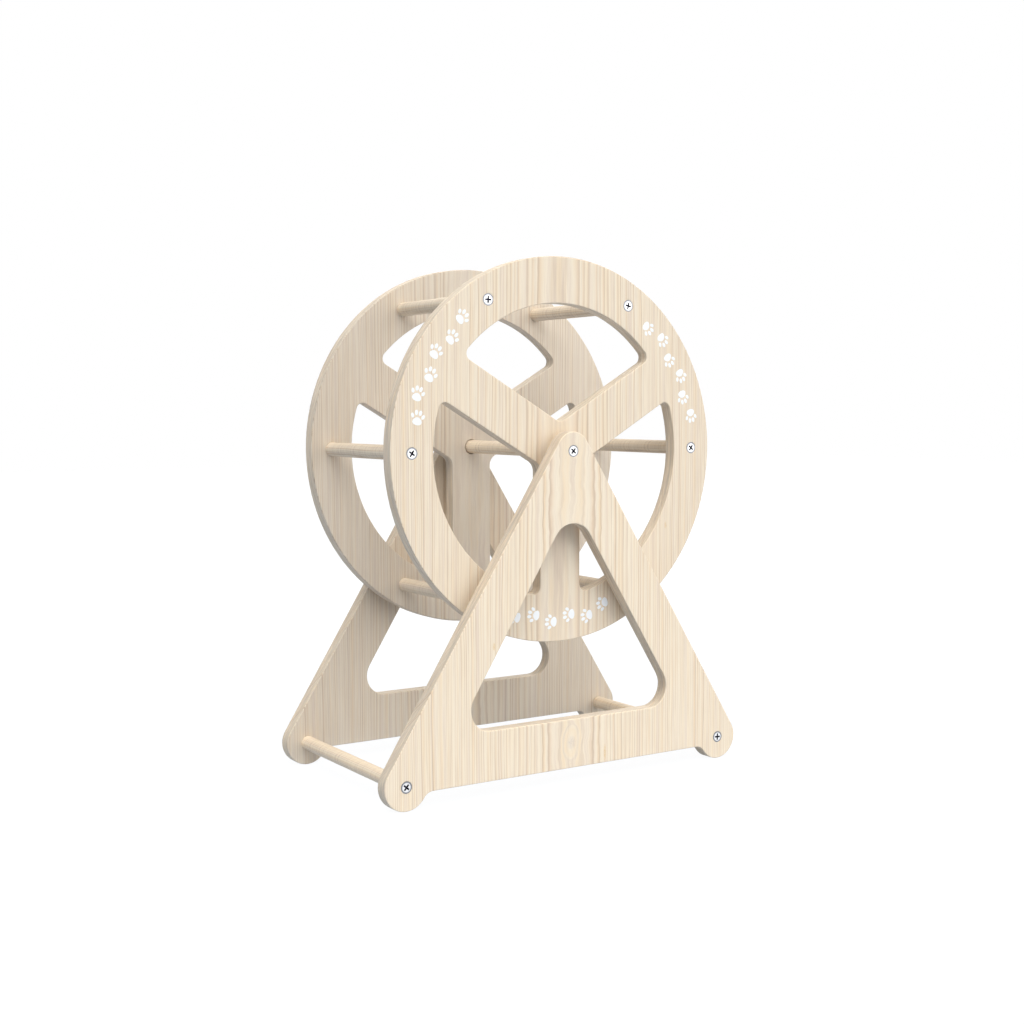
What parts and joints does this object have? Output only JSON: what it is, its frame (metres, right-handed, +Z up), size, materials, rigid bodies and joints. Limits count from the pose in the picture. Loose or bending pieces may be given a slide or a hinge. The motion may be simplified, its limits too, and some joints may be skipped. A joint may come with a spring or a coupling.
{
  "type": "cat exercise wheel",
  "caption": "Free-standing wooden cat wheel: a spoked drum of dowel rungs turning on an axle between A-shaped boards.",
  "frame": {"origin": "on the floor, under the middle of the wheel's axle", "axes": "+Z up; the axle runs along Y and the front board faces -Y; +X to the right seen from the front"},
  "size_m": [0.3544, 0.192, 0.437],
  "materials": {
    "pine_board": "satin",
    "pine_dowel": "satin",
    "screw_steel": "satin",
    "spacer_nylon": "matte",
    "print_white": "matte"
  },
  "bodies": {
    "stand": {"front_frame": "pine_board", "rear_frame": "pine_board", "axle_dowel": "pine_dowel", "left_stretcher": "pine_dowel", "right_stretcher": "pine_dowel", "front_spacer": "spacer_nylon", "rear_spacer": "spacer_nylon", "front_axle_screw": "screw_steel", "rear_axle_screw": "screw_steel", "front_left_foot_screw": "screw_steel", "front_right_foot_screw": "screw_steel", "rear_left_foot_screw": "screw_steel", "rear_right_foot_screw": "screw_steel"},
    "wheel": {"front_disc": "pine_board", "rear_disc": "pine_board", "rung_1": "pine_dowel", "rung_1_front_screw": "screw_steel", "rung_1_rear_screw": "screw_steel", "rung_2": "pine_dowel", "rung_2_front_screw": "screw_steel", "rung_2_rear_screw": "screw_steel", "rung_3": "pine_dowel", "rung_3_front_screw": "screw_steel", "rung_3_rear_screw": "screw_steel", "rung_4": "pine_dowel", "rung_4_front_screw": "screw_steel", "rung_4_rear_screw": "screw_steel", "rung_5": "pine_dowel", "rung_5_front_screw": "screw_steel", "rung_5_rear_screw": "screw_steel", "rung_6": "pine_dowel", "rung_6_front_screw": "screw_steel", "rung_6_rear_screw": "screw_steel"}
  },
  "joints": [
    {"name": "wheel_spin", "type": "hinge", "parent": "stand", "child": "wheel", "pos_m": [0, 0, 0.277], "axis": [0, 1, 0], "continuous": true}
  ]
}
